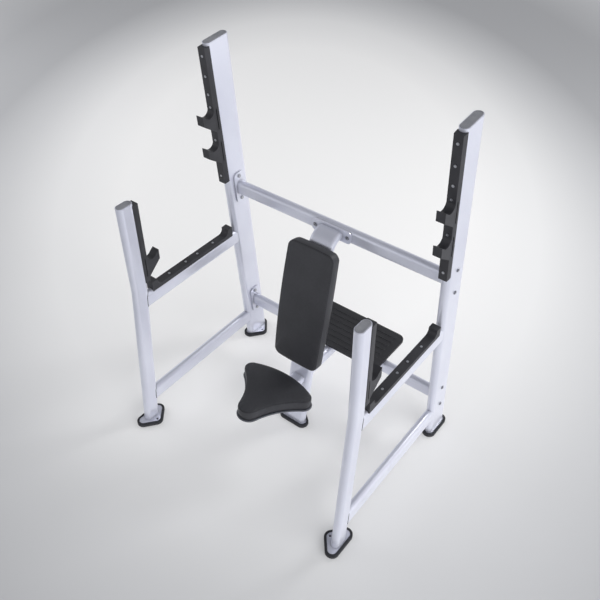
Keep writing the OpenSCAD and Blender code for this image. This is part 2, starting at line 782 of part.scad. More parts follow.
// Cushion over an outline: drawn in at its base, full at its side, rounded over to a crowned top,
// and fuller by a bow at the middle of its length.
// The side's rings are [inset, height], the top's rings are shares of the way to the middle.
module cushion(points, height, draw_in, round_r, bow) {
    n = len(points);
    centre = middle(points);
    side = [[draw_in + 3, 0], [draw_in, 2], [1.5, height * 0.35], [0, height * 0.55],
        [round_r * 0.1, height - round_r * 0.6], [round_r * 0.35, height - round_r * 0.2], [round_r, height]];
    inner = [for (i = [0 : n - 1]) inset_point(points, i, round_r)];
    half = max([for (p = points) p.y]) - centre.y;
    function raised(p, z) = [p.x, p.y, z * (1 + bow / height * (1 - ((p.y - centre.y) / half) ^ 2))];
    shares = [0.12, 0.3, 0.55, 0.8];
    rings = concat(
        [for (s = side) [for (i = [0 : n - 1]) raised(inset_point(points, i, s[0]), s[1])]],
        [for (t = shares) [for (p = inner) raised(p + (centre - p) * t, height + crown * (1 - (1 - t) ^ 2))]]);
    flat = [for (ring = rings) each ring];
    last = (len(rings) - 1) * n;
    base_point = len(flat);
    top_point = base_point + 1;
    polyhedron(
        concat(flat, [[centre.x, centre.y, 0], raised(centre, height + crown)]),
        concat(
            [for (k = [0 : len(rings) - 2], i = [0 : n - 1]) let (a = k * n + i, b = k * n + (i + 1) % n)
                each [[a, b + n, b], [a, a + n, b + n]]],
            [for (i = [0 : n - 1]) [base_point, i, (i + 1) % n]],
            [for (i = [0 : n - 1]) [top_point, last + (i + 1) % n, last + i]]));
}

// Frame of the back pad: Z out of the column's front, Y up along it
module on_back() {
    on_column() translate([0, 0, back_middle]) rotate([90, 0, 0]) children();
}

module back_board() {
    color(board_brown) on_back() difference() {
        translate([0, 0, board_face]) linear_extrude(back_board_t) polygon(back_outline(board_inset));
        for (z = back_bolts_z)
            translate([0, z - back_middle, 0]) cylinder(r = bolt_r + bolt_gap, h = far, center = true);
    }
}

module back_cushion() {
    color(vinyl_black) on_back() translate([0, 0, pad_face])
        cushion(back_outline(0), back_t, 4, 7, back_bow);
}

// Level tube in front of the column, under the seat
module seat_arm() {
    start = column_line_y(arm_z);
    color(silver) difference() {
        translate([0, start, arm_z]) rotate([90, 0, 0]) linear_extrude(arm_len) rotate(90) oval_ring(arm_h, arm_w);
        on_column() linear_extrude(bend_start) rotate(90)
            flat_oval(column_t + 2 * seat_gap, column_w + 2 * seat_gap);
    }
}

// Frame of the seat: Y towards the nose, Z square to the seat
module on_seat() {
    translate([0, column_y, seat_top]) rotate([-seat_tilt, 0, 0]) mirror([0, 1, 0])
        translate([0, 0, -seat_top]) children();
}

// Plate under the seat, on two webs along the arm
module seat_bracket() {
    web_x = (arm_w - arm_h) / 2;
    color(silver) difference() {
        union() {
            on_seat() translate([-bracket_w / 2, bracket_rear, seat_plate_top - bracket_t])
                cube([bracket_w, bracket_len, bracket_t]);
            intersection() {
                for (x = [-1, 1])
                    translate([x * (web_x - bracket_t / 2) - bracket_t / 2, arm_front_y, arm_top_z + seat_gap])
                        cube([bracket_t, bracket_len, far]);
                on_seat() translate([-bracket_w / 2, bracket_rear, seat_plate_top - bracket_t - far])
                    cube([bracket_w, bracket_len, far]);
            }
        }
        on_seat() for (p = seat_bolts_at)
            translate([p.x, p.y, seat_plate_top]) cylinder(r = screw_r + 1 + bolt_gap, h = 4 * bracket_t, center = true);
    }
}

module seat_tray() {
    points = seat_outline();
    inner = [for (i = [0 : len(points) - 1]) inset_point(points, i, tray_wall - tray_lip)];
    outer = [for (i = [0 : len(points) - 1]) inset_point(points, i, -tray_lip)];
    color(guard_black) on_seat() difference() {
        translate([0, 0, tray_floor]) linear_extrude(tray_h) polygon(outer);
        translate([0, 0, tray_floor + tray_base]) linear_extrude(tray_h) polygon(inner);
        for (p = seat_bolts_at)
            translate([p.x, p.y, tray_floor]) cylinder(r = screw_r + 1 + bolt_gap, h = 4 * tray_base, center = true);
    }
}

module seat_board() {
    points = seat_outline();
    inner = [for (i = [0 : len(points) - 1]) inset_point(points, i, tray_wall - tray_lip + seat_gap)];
    color(board_brown) on_seat() difference() {
        translate([0, 0, seat_board_top - seat_board_t]) linear_extrude(seat_board_t) polygon(inner);
        for (p = seat_bolts_at)
            translate([p.x, p.y, seat_board_top - seat_board_t]) cylinder(r = screw_r + 1 + bolt_gap, h = seat_board_t);
    }
}

module seat_cushion() {
    color(vinyl_black) on_seat() translate([0, 0, seat_board_top + soft_gap])
        cushion(seat_outline(), seat_t - soft_gap, 2.5, 5, 0);
}

module platform_deck() {
    color(silver) translate([0, platform_y, deck_z])
        linear_extrude(deck_t) round_rect(platform_w - 2 * deck_inset, platform_d - 2 * deck_inset, platform_r - deck_inset);
}

// Ribbed tread that caps the deck
module platform_tread() {
    rib_run = platform_w - 2 * platform_r;
    rib_pitch = (platform_d - platform_r) / rib_n;
    color(rubber_black) translate([0, platform_y, tread_z]) {
        linear_extrude(tread_t) round_rect(platform_w, platform_d, platform_r);
        for (i = [0 : rib_n - 1])
            translate([0, (i - (rib_n - 1) / 2) * rib_pitch, tread_t])
                linear_extrude(rib_h) rotate(90) flat_oval(rib_w, rib_run);
    }
}

// Flange and web under the deck, welded to the cross-beam's back
module platform_bracket(side) {
    reach = platform_d - platform_front - deck_inset;
    web_front = beam_t / 2 + seat_gap;
    flange_z = beam_h / 2;
    web_low = (beam_h - beam_t) / 2;
    nose_h = 18;
    color(silver) translate([side * platform_bracket_pitch / 2, lower_beam_y, lower_beam_z]) difference() {
        union() {
            translate([-bracket_t / 2, 0, 0]) rotate([90, 0, 90]) linear_extrude(bracket_t)
                polygon([[web_front, -web_low], [web_front, flange_z], [reach, flange_z], [reach, flange_z - nose_h]]);
            translate([-platform_bracket_w / 2, web_front, flange_z - bracket_t])
                cube([platform_bracket_w, reach - web_front, bracket_t]);
        }
        for (y = platform_bolt_y, x = [-1, 1])
            translate([x * platform_bracket_w / 4, y, flange_z])
                cylinder(r = screw_r + bolt_gap, h = 4 * bracket_t, center = true);
    }
}

// Pan-head screw, its head's underside at 0 and its shank along -Z
module screw(length) {
    cylinder(r = screw_r, h = 2 * length, center = true);
    cylinder(r = screw_head_r, h = screw_head_h);
}

// Button-head bolt with a hexagon socket, its head's underside at 0 and its shank along -Z
module bolt(length) {
    difference() {
        union() {
            translate([0, 0, -length]) cylinder(r = bolt_r, h = length + over);
            cylinder(r = bolt_head_r, h = bolt_head_h * 0.55);
            cylinder(r = bolt_head_r - 2, h = bolt_head_h);
        }
        translate([0, 0, bolt_head_h / 2]) cylinder(r = bolt_r * 0.65, h = bolt_head_h, $fn = 6);
    }
}

module nut() {
    difference() {
        cylinder(r = bolt_r * 1.8, h = nut_h, $fn = 6);
        translate([0, 0, -over]) cylinder(r = bolt_r + seat_gap, h = nut_h + 2 * over);
    }
}

module guard_screw() {
    length = guard_face + wall;
    difference() {
        translate([0, 0, -length]) cylinder(r = screw_r, h = length);
        translate([0, 0, screw_head_h]) cylinder(r = screw_r, h = over);
    }
    cylinder(r = screw_head_r, h = screw_head_h);
}

module rack_screws() {
    color(bright_steel) for (side = [-1, 1], drop = rack_screws_z)
        at_rack(side) translate([0, guard_face - screw_sink, -drop]) rotate([-90, 0, 0]) guard_screw();
}

module front_guard_screws() {
    color(bright_steel) for (side = [-1, 1], drop = front_screws_z)
        at_front_guard(side) translate([0, guard_face - screw_sink, -drop]) rotate([-90, 0, 0]) guard_screw();
}

module rail_guard_screws() {
    color(bright_steel) for (side = [-1, 1], y = tray_screws_y)
        translate([side * side_spacing / 2, y, rail_top_z + tray_face - screw_sink]) guard_screw();
}

// Through-bolts of the end flanges, heads on the outer side of each rear upright
module cross_beam_bolts() {
    grip = tube_t + flange_t + seat_gap;
    color(bright_steel) for (side = [-1, 1], z = beam_bolt_places())
        on_rear_upright(side) translate([side * (tube_t / 2 + seat_gap), 0, z])
            rotate([0, side * 90, 0]) bolt(grip + nut_h + seat_gap);
}

module cross_beam_nuts() {
    color(bright_steel) for (side = [-1, 1], z = beam_bolt_places())
        on_rear_upright(side) translate([-side * (tube_t / 2 + flange_t + seat_gap), 0, z])
            rotate([0, -side * 90, 0]) nut();
}

// Bolts of the column's and the link tube's flanges, heads at the front
module flange_places() {
    for (p = [[upper_beam_y, upper_beam_z], [lower_beam_y, lower_beam_z]], x = [-1, 1])
        translate([x * front_bolt_pitch / 2, p[0], p[1]]) rotate([90, 0, 0]) children();
}

module flange_bolts() {
    grip = beam_t + flange_t + 3 * seat_gap;
    color(bright_steel) flange_places()
        translate([0, 0, beam_t / 2 + flange_t + 2 * seat_gap]) bolt(grip + nut_h + seat_gap);
}

module flange_nuts() {
    color(bright_steel) flange_places()
        translate([0, 0, -beam_t / 2 - seat_gap]) mirror([0, 0, 1]) nut();
}

// Bolts from the column's back into the back board
module back_pad_bolts() {
    color(bright_steel) on_column() for (z = back_bolts_z)
        translate([0, column_t / 2 + seat_gap, z]) rotate([-90, 0, 0])
            bolt(column_t + back_board_t);
}

// Bolts from under the seat bracket into the seat board
module seat_bolts() {
    color(bright_steel) on_seat() for (p = seat_bolts_at)
        translate([p.x, p.y, seat_plate_top - bracket_t - seat_gap]) mirror([0, 0, 1]) {
            translate([0, 0, -bracket_t - tray_base - seat_board_t + over])
                cylinder(r = screw_r + 1, h = bracket_t + tray_base + seat_board_t);
            cylinder(r = screw_head_r + 1, h = screw_head_h + 1, $fn = 6);
        }
}

// Bolts from under the platform brackets into the deck
module platform_bolts() {
    color(bright_steel) for (side = [-1, 1], y = platform_bolt_y, x = [-1, 1])
        translate([side * platform_bracket_pitch / 2 + x * platform_bracket_w / 4, lower_beam_y + y,
            deck_z - 2 * seat_gap - bracket_t]) mirror([0, 0, 1]) {
            translate([0, 0, -bracket_t]) cylinder(r = screw_r, h = bracket_t);
            cylinder(r = screw_head_r, h = screw_head_h, $fn = 6);
        }
}

rear_upright(-1);  // left_rear_upright
rear_upright(1);  // right_rear_upright
front_upright(-1);  // left_front_upright
front_upright(1);  // right_front_upright
upper_rail(-1);  // left_upper_rail
upper_rail(1);  // right_upper_rail
lower_rail(-1);  // left_lower_rail
lower_rail(1);  // right_lower_rail
rear_cap(-1);  // left_rear_cap
rear_cap(1);  // right_rear_cap
front_cap(-1);  // left_front_cap
front_cap(1);  // right_front_cap
at_rear_foot(-1) base_plate();  // left_rear_base_plate
at_rear_foot(1) base_plate();  // right_rear_base_plate
at_front_foot(-1) base_plate();  // left_front_base_plate
at_front_foot(1) base_plate();  // right_front_base_plate
at_column_foot() base_plate();  // column_base_plate
at_rear_foot(-1) rubber_foot();  // left_rear_foot
at_rear_foot(1) rubber_foot();  // right_rear_foot
at_front_foot(-1) rubber_foot();  // left_front_foot
at_front_foot(1) rubber_foot();  // right_front_foot
at_column_foot() rubber_foot();  // column_foot
bar_rack(-1);  // left_bar_rack
bar_rack(1);  // right_bar_rack
front_guard(-1);  // left_front_guard
front_guard(1);  // right_front_guard
rail_guard(-1);  // left_rail_guard
rail_guard(1);  // right_rail_guard
cross_beam_drilled(upper_beam_y, upper_beam_z);  // upper_cross_beam
cross_beam_drilled(lower_beam_y, lower_beam_z);  // lower_cross_beam
end_flange(-1, upper_beam_z);  // upper_left_flange
end_flange(1, upper_beam_z);  // upper_right_flange
end_flange(-1, lower_beam_z);  // lower_left_flange
end_flange(1, lower_beam_z);  // lower_right_flange
back_column();
front_flange(upper_beam_y, upper_beam_z);  // column_flange
link_tube();
front_flange(lower_beam_y, lower_beam_z);  // link_flange
back_board();
back_cushion();
seat_arm();
seat_bracket();
seat_tray();
seat_board();
seat_cushion();
platform_deck();
platform_tread();
platform_bracket(-1);  // left_platform_bracket
platform_bracket(1);  // right_platform_bracket
rack_screws();
front_guard_screws();
rail_guard_screws();
cross_beam_bolts();
cross_beam_nuts();
flange_bolts();
flange_nuts();
back_pad_bolts();
seat_bolts();
platform_bolts();
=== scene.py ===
import math

import bmesh
import bpy
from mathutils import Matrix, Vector
from mathutils.bvhtree import BVHTree
from mathutils.kdtree import KDTree


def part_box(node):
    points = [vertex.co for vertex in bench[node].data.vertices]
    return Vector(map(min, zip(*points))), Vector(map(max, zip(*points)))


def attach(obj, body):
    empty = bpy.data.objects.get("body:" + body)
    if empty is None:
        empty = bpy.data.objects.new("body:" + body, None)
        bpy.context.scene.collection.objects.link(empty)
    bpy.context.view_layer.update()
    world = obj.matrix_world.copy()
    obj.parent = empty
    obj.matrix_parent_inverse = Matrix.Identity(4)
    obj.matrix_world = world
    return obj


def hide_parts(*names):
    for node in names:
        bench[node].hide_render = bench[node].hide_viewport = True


# The bench as it is packed: two side frames, the cross-beams between them, the column with its two
# pads, and the spotter's platform. It stands on the floor and the lifter faces -Y.
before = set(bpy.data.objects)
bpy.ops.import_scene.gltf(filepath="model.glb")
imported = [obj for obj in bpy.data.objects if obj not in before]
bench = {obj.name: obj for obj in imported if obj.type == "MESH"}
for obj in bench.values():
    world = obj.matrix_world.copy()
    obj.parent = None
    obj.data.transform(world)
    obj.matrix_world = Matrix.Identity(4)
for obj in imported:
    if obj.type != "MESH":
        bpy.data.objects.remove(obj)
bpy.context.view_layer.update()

# The photographer's place: high up, in front of the bench and to its right, looking down on it.
# The lens is a little longer than normal, with no shift.
scene = bpy.context.scene
camera_data = bpy.data.cameras.new("bench_camera")
camera_data.lens = 43.94
camera_data.sensor_width = 36.0
camera_data.clip_end = 60.0
camera = bpy.data.objects.new("bench_camera", camera_data)
camera.location = (1.462, -1.868, 2.854)
camera.rotation_euler = (math.radians(48.73), 0.0, math.radians(37.65))
scene.collection.objects.link(camera)
bpy.context.scene.camera = camera


# The side frames: flat-oval steel tubes, welded, blasted and powder coated in a pale silver that
# leans to lavender. The cured powder has a faint orange peel and very fine metal flakes.
class Strand:
    """One socket of a finish. Sums on strands add Math nodes, and add() makes any other node."""

    def __init__(self, tree, socket=None):
        self.tree = tree
        self.socket = socket

    def add(self, kind, sockets=None, out=0, stops=None, **settings):
        node = self.tree.nodes.new("ShaderNode" + kind)
        for name, value in settings.items():
            setattr(node, name, value)
        if stops:
            ramp = node.color_ramp
            while len(ramp.elements) < len(stops):
                ramp.elements.new(0.5)
            for element, (place, colour) in zip(ramp.elements, stops):
                element.position = place
                element.color = (*colour, 1.0)
        for name, value in (sockets or {}).items():
            if isinstance(value, Strand):
                self.tree.links.new(value.socket, node.inputs[name])
            else:
                node.inputs[name].default_value = value
        return Strand(self.tree, node.outputs[out])

    def sum(self, operation, *terms):
        return self.add("Math", dict(enumerate(terms)), operation=operation)

    def __add__(self, other):
        return self.sum("ADD", self, other)

    def __radd__(self, other):
        return self.sum("ADD", other, self)

    def __sub__(self, other):
        return self.sum("SUBTRACT", self, other)

    def __rsub__(self, other):
        return self.sum("SUBTRACT", other, self)

    def __mul__(self, other):
        return self.sum("MULTIPLY", self, other)

    def __rmul__(self, other):
        return self.sum("MULTIPLY", other, self)

    def __pow__(self, other):
        return self.sum("POWER", self, other)

    def __rpow__(self, other):
        return self.sum("POWER", other, self)

    def between(self, low, high):
        return self.add("MapRange", {"Value": self, "From Min": low, "From Max": high},
                        interpolation_type="SMOOTHSTEP")

    def blend(self, first, second):
        return self.add("Mix", {0: self, 6: first, 7: second}, out=2, data_type="RGBA")


class Finish:
    """A named finish on a Principled shader, with the part's own metres as its coordinates."""

    def __init__(self, name, **fixed):
        self.material = bpy.data.materials.new(name)
        self.material.use_nodes = True
        tree = self.material.node_tree
        self.shader = tree.nodes["Principled BSDF"]
        self.root = Strand(tree)
        self.place = self.root.add("TexCoord", out="Object")
        for socket, value in fixed.items():
            self.shader.inputs[socket.replace("_", " ")].default_value = value

    def noise(self, scale, detail=2.0, rough=0.5, place=None):
        return self.root.add("TexNoise", {"Vector": place or self.place, "Scale": scale,
                                          "Detail": detail, "Roughness": rough})

    def stretched(self, x, y, z):
        return self.root.add("Mapping", {"Vector": self.place, "Scale": (x, y, z)})

    def recess(self, reach, own=True, shut=0.66, clear=0.96):
        """How far a point lies in a slot, a corner or a joint, where dust and shade gather."""
        open_sky = self.root.add("AmbientOcclusion", {"Distance": reach}, out="AO",
                                 samples=8, only_local=own)
        return 1.0 - open_sky.between(shut, clear)

    def feed(self, socket, strand):
        self.root.tree.links.new(strand.socket, self.shader.inputs[socket])

    def bump(self, height, strength, distance):
        self.feed("Normal", self.root.add("Bump", {"Height": height, "Strength": strength,
                                                   "Distance": distance}))

    def on(self, *names):
        for name in names:
            materials = bench[name].data.materials
            materials.clear()
            materials.append(self.material)


silver = Finish("silver_powder_coat", Metallic=0.45, Coat_Weight=0.3, Coat_Roughness=0.12)
silver_deep = (0.69, 0.705, 0.81, 1.0)
silver_pale = (0.755, 0.77, 0.865, 1.0)
scuff_grey = (0.42, 0.41, 0.42, 1.0)
joint_shade = (0.20, 0.20, 0.22, 1.0)
cloud = silver.noise(4.0, detail=3.0)
flake = silver.noise(1500.0, detail=1.0)
peel = silver.noise(380.0)
above_floor = silver.root.add("SeparateXYZ", {0: silver.place}, out="Z")
low_down = 1.0 - above_floor.between(0.02, 0.12)
scuff = low_down * silver.noise(90.0, detail=4.0).between(0.52, 0.72)
sprayed = (cloud * 0.55 + flake * 0.45).between(0.36, 0.64).blend(silver_deep, silver_pale)
worn = (scuff * 0.10).blend(sprayed, scuff_grey)
# Painted shade: the coat darkens towards joint_shade where other parts and the floor close round
# it, at joints and in corners.
joint = silver.recess(0.030, own=False, shut=0.30, clear=0.92)
silver.feed("Base Color", (joint * 0.55).blend(worn, joint_shade))
silver.feed("Roughness", 0.25 + cloud * 0.05 + scuff * 0.04 + flake * 0.03)
silver.bump(peel, strength=0.05, distance=0.0004)
silver.on("left_rear_upright", "right_rear_upright", "left_front_upright", "right_front_upright",
          "left_upper_rail", "right_upper_rail", "left_lower_rail", "right_lower_rail")

# The shadow beads: a thin black bead, matt and faintly dusty, laid round the joint at the front end
# of each rail, where the rail's coped end meets the round edge of the front upright, as a painted
# shadow line.
shadow_bead = Finish("painted_shadow_bead", Metallic=0.0, Specular_IOR_Level=0.3)
shadow_bead_black = (0.012, 0.012, 0.014, 1.0)
shadow_bead_dusty = (0.03, 0.03, 0.034, 1.0)
shadow_bead_dust = shadow_bead.noise(300.0, detail=3.0)
shadow_bead.feed("Base Color", shadow_bead_dust.between(0.3, 0.7).blend(shadow_bead_black, shadow_bead_dusty))
shadow_bead.feed("Roughness", 0.6 + shadow_bead_dust * 0.2)
shadow_bead_half = 0.0015
rail_round = 0.019
skin_near = 0.0003
upright_near = 0.0006
bead_step = 0.0008


def skinned(piece, finish):
    """Smooth shading all over a piece, in one finish."""
    for polygon in piece.data.polygons:
        polygon.use_smooth = True
    piece.data.materials.clear()
    piece.data.materials.append(finish.material)


def rail_shadow_bead(side, level):
    """A closed black bead, a painted shadow line, along the line where a rail's skin comes to the
    front upright.
    """
    name = side + "_" + level + "_shadow_bead"
    rail = side + "_" + level + "_rail"
    upright = BVHTree.FromObject(bench[side + "_front_upright"],
                                 bpy.context.evaluated_depsgraph_get())
    low, high = (Vector(corner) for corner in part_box(rail))
    middle = (low + high) / 2
    straight = (high.z - low.z) / 2 - rail_round
    rim = []
    for vertex in bench[rail].data.vertices:
        across, rise = vertex.co.x - middle.x, vertex.co.z - middle.z
        past = max(abs(rise) - straight, 0.0)
        if abs(math.hypot(across, past) - rail_round) > skin_near:
            continue
        *_, apart = upright.find_nearest(vertex.co)
        if apart < upright_near:
            rim.append((math.atan2(rise, across), vertex.co.copy()))
    rim.sort(key=lambda entry: entry[0])
    loop = [rim[0][1]]
    for _, point in rim[1:]:
        if (point - loop[-1]).length > bead_step:
            loop.append(point)
    path = bpy.data.curves.new(name, "CURVE")
    path.dimensions = "3D"
    path.bevel_depth = shadow_bead_half
    path.bevel_resolution = 3
    spline = path.splines.new("POLY")
    spline.points.add(len(loop) - 1)
    for knot, point in zip(spline.points, loop):
        knot.co = (*point, 1.0)
    spline.use_cyclic_u = True
    guide = bpy.data.objects.new("guide", path)
    scene.collection.objects.link(guide)
    mesh = bpy.data.meshes.new_from_object(
        guide.evaluated_get(bpy.context.evaluated_depsgraph_get()))
    bpy.data.objects.remove(guide)
    bead = bpy.data.objects.new(name, mesh)
    scene.collection.objects.link(bead)
    skinned(bead, shadow_bead)
    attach(bead, "root")


for rail_side in ("left", "right"):
    for rail_level in ("upper", "lower"):
        rail_shadow_bead(rail_side, rail_level)

# The end caps: moulded plastic plugs pressed into the tops of the four uprights. A shallow oval
# recess lies inside the tube's bright rim.
caps = Finish("cap_polymer", Metallic=0.0)
cap_dark = (0.23, 0.235, 0.26, 1.0)
cap_pale = (0.32, 0.325, 0.35, 1.0)
cap_grain = caps.noise(900.0)
cap_tone = (cap_grain * 0.6 + caps.noise(30.0) * 0.4).between(0.35, 0.65)
caps.feed("Base Color", cap_tone.blend(cap_dark, cap_pale))
caps.feed("Roughness", 0.42 + cap_grain * 0.14)
caps.bump(cap_grain, strength=0.2, distance=0.0003)
caps.on("left_rear_cap", "right_rear_cap", "left_front_cap", "right_front_cap")

# The base plates: laser-cut steel, welded under each upright and under the column and coated with
# the frame. Each has one hole for a floor anchor.
silver.on("left_rear_base_plate", "right_rear_base_plate", "left_front_base_plate",
          "right_front_base_plate", "column_base_plate")

# The feet: black rubber boots moulded round the base plates, with a rim that stands up all round.
# The rubber is matt, with mould dust in its pores.
rubber = Finish("foot_rubber", Metallic=0.0, Specular_IOR_Level=0.4)
rubber_dark = (0.026, 0.0265, 0.031, 1.0)
rubber_pale = (0.042, 0.043, 0.049, 1.0)
pores = rubber.noise(520.0, detail=3.0)
bloom = rubber.noise(24.0, detail=3.0)
rubber_tone = (bloom * 0.6 + pores * 0.4).between(0.35, 0.7)
rubber.feed("Base Color", rubber_tone.blend(rubber_dark, rubber_pale))
rubber.feed("Roughness", 0.58 + bloom * 0.18)
rubber.bump(pores, strength=0.25, distance=0.0004)
rubber.on("left_rear_foot", "right_rear_foot", "left_front_foot", "right_front_foot",
          "column_foot")

# The bar rests: thick black polymer mouldings, screwed to the round edges of the uprights and to
# the tops of the rails. Their hooks and trays carry the bar, so they have a fine spark grain.
polymer = Finish("guard_polymer", Metallic=0.0, Specular_IOR_Level=0.35)
polymer_dark = (0.026, 0.026, 0.0295, 1.0)
polymer_pale = (0.040, 0.040, 0.0455, 1.0)
rubbed_grey = (0.062, 0.062, 0.068, 1.0)
painted_hollow_shade = (0.010, 0.010, 0.012, 1.0)
painted_slot_shade = (0.003, 0.003, 0.004, 1.0)
spark = polymer.root.add("TexVoronoi", {"Vector": polymer.place, "Scale": 850.0}, out="Distance")
flow = polymer.noise(14.0, detail=3.0)
bar_streaks = polymer.stretched(18.0, 420.0, 420.0)
rub = polymer.noise(1.0, detail=3.0, rough=0.6, place=bar_streaks).between(0.60, 0.78)
moulded = (flow * 0.7 + spark * 0.3).between(0.3, 0.7).blend(polymer_dark, polymer_pale)
handled = (rub * 0.35).blend(moulded, rubbed_grey)
# Painted shade: the moulding darkens towards near black deep in the hook cradles and inner corners,
# and further in the narrow slots beside the hooks.
hollow = polymer.recess(0.045, shut=0.25, clear=0.95)
shaded = (hollow * 0.75).blend(handled, painted_hollow_shade)
polymer.feed("Base Color", polymer.recess(0.007).blend(shaded, painted_slot_shade))
polymer.feed("Roughness", 0.40 + flow * 0.12 + rub * 0.1)
polymer.bump(spark, strength=0.18, distance=0.0003)
polymer.on("left_bar_rack", "right_bar_rack", "left_front_guard", "right_front_guard",
           "left_rail_guard", "right_rail_guard")

# The cross-beams and the flange plates on their ends: the same tube and coat as the side frames.
# The flanges are bolted to the uprights' flat sides.
silver.on("upper_cross_beam", "lower_cross_beam", "upper_left_flange", "upper_right_flange",
          "lower_left_flange", "lower_right_flange")

# The back column: a wide flat-oval steel tube, coated with the frame, that leans back and bends
# level into its own bolted flange. The link tube ties it to the lower cross-beam.
silver.on("back_column", "column_flange", "link_tube", "link_flange")

# The back board: plywood, stained black, that the back pad's cover is stapled to. Two bolts hold
# it to the column.
ply = Finish("stained_plywood", Metallic=0.0)
ply_dark = (0.022, 0.019, 0.017, 1.0)
ply_pale = (0.060, 0.050, 0.042, 1.0)
figure = ply.root.add("TexWave", {"Vector": ply.stretched(1.0, 0.16, 0.16), "Scale": 60.0,
                                  "Distortion": 5.0, "Detail": 3.0, "Detail Scale": 1.6},
                      out=1, wave_type="BANDS")
fibre = ply.noise(1.0, detail=3.0, rough=0.6, place=ply.stretched(900.0, 40.0, 40.0))
ply_tone = (figure * 0.6 + fibre * 0.4).between(0.2, 0.8)
ply.feed("Base Color", ply_tone.blend(ply_dark, ply_pale))
ply.feed("Roughness", 0.5 + fibre * 0.2)
ply.bump(fibre, strength=0.15, distance=0.0003)
ply.on("back_board")

# The back pad: dense foam under black grained vinyl. A front panel is sewn to a boxed side, so a
# seam runs along its edge. The foam fills the cover, and the pad is fullest at its middle.
column_stand = Vector((0.0, -0.01956, 0.0))
back_lean = math.radians(11.6)
back_along = Vector((0.0, math.sin(back_lean), math.cos(back_lean)))
back_out = Vector((0.0, -math.cos(back_lean), math.sin(back_lean)))
back_base = column_stand + back_along * 0.695 + back_out * 0.030
ring_points = 168
finer_steps = 24
widest_share = 0.55
widest_near = 0.4
fill_steps = 20
seam_spread = 0.0023
vinyl = Finish("grained_vinyl", Metallic=0.0, Specular_IOR_Level=0.35)
vinyl_dark = (0.038, 0.0385, 0.0435, 1.0)
vinyl_pale = (0.048, 0.0485, 0.0545, 1.0)
seam_shade_black = (0.004, 0.004, 0.005, 1.0)
pebble = vinyl.root.add("TexVoronoi", {"Vector": vinyl.place, "Scale": 420.0}, out="Distance",
                        feature="DISTANCE_TO_EDGE")
grain = pebble.between(0.0, 0.18)
crease = vinyl.noise(90.0, detail=3.0)
# Painted shade: the vinyl darkens to near black along the seam, as the shade in its groove.
seam_shade = vinyl.root.add("Attribute", out="Fac", attribute_name="seam")
vinyl_tone = (vinyl.noise(7.0) * 0.6 + crease * 0.4).between(0.3, 0.7)
panels = vinyl_tone.blend(vinyl_dark, vinyl_pale)
vinyl.feed("Base Color", (seam_shade * 0.8).blend(panels, seam_shade_black))
vinyl.feed("Roughness", 0.52 - grain * 0.08 + crease * 0.06 + seam_shade * 0.1)
vinyl.bump(grain * 0.7 + crease * 0.3, strength=0.12, distance=0.0004)


class Cushion:
    """The space of one cushion's solid, in millimetres across it, along it and out from its base,
    with even points round its widest line."""

    def __init__(self, node, base, along, out, height, bow):
        self.node, self.base, self.along, self.out = node, base, along, out
        self.height, self.bow = height, bow
        flat = [((v.co - base).x * 1000, (v.co - base).dot(along) * 1000,
                 (v.co - base).dot(out) * 1000) for v in bench[node].data.vertices]
        low, high = min(p[1] for p in flat), max(p[1] for p in flat)
        self.middle, self.half = (low + high) / 2, (high - low) / 2
        widest = {}
        for x, y, z in flat:
            if abs(z / self.fullness(y) - height * widest_share) < widest_near:
                widest[(round(x, 1), round(y, 1))] = (x, y)
        turn = sorted(widest.values(), key=lambda p: math.atan2(p[1] - self.middle, p[0]))
        self.points = self.evened(turn)
        self.inward = []
        for i in range(ring_points):
            run = self.points[(i + 1) % ring_points] - self.points[i - 1]
            self.inward.append(Vector((-run.y, run.x)).normalized())

    def fullness(self, y):
        """How much further the cushion stands out at a place along it, most at its middle."""
        return 1 + self.bow / self.height * (1 - min(1.0, ((y - self.middle) / self.half) ** 2))

    def evened(self, corners):
        """Points at even steps on a smooth closed line through the corners."""
        size = len(corners)
        fine = []
        for i in range(size):
            p0, p1, p2, p3 = (Vector(corners[(i + k) % size]) for k in (-1, 0, 1, 2))
            for step in range(finer_steps):
                t = step / finer_steps
                fine.append(0.5 * (2 * p1 + (p2 - p0) * t
                                   + (2 * p0 - 5 * p1 + 4 * p2 - p3) * t * t
                                   + (3 * p1 - p0 - 3 * p2 + p3) * t ** 3))
        runs = [0.0]
        for i in range(len(fine)):
            runs.append(runs[-1] + (fine[(i + 1) % len(fine)] - fine[i]).length)
        even = []
        place = 0
        for i in range(ring_points):
            target = runs[-1] * i / ring_points
            while runs[place + 1] < target:
                place += 1
            share = (target - runs[place]) / max(runs[place + 1] - runs[place], 1e-9)
            even.append(fine[place].lerp(fine[(place + 1) % len(fine)], share))
        return even

    def inset(self, depth):
        return [point + inward * depth for point, inward in zip(self.points, self.inward)]

    def spot(self, point, z):
        """A point of the cushion's space, in the part's metres."""
        return self.base + (Vector((1, 0, 0)) * point.x + self.along * point.y
                            + self.out * z * self.fullness(point.y)) * 0.001

    def ring(self, form, depth, z):
        return [form.verts.new(self.spot(point, z)) for point in self.inset(depth)]


def loft(form, rings):
    """A skin of four-sided faces through rings of points."""
    for first, second in zip(rings, rings[1:]):
        for i in range(ring_points):
            j = (i + 1) % ring_points
            form.faces.new((first[i], first[j], second[j], second[i]))


def fan(form, ring, centre):
    """Three-sided faces from a ring to one point, which close a skin."""
    for i in range(ring_points):
        form.faces.new((ring[i], ring[(i + 1) % ring_points], centre))


def piece_of(form, name):
    """A new object from a finished form."""
    mesh = bpy.data.meshes.new(name)
    form.to_mesh(mesh)
    form.free()
    piece = bpy.data.objects.new(name, mesh)
    scene.collection.objects.link(piece)
    return piece


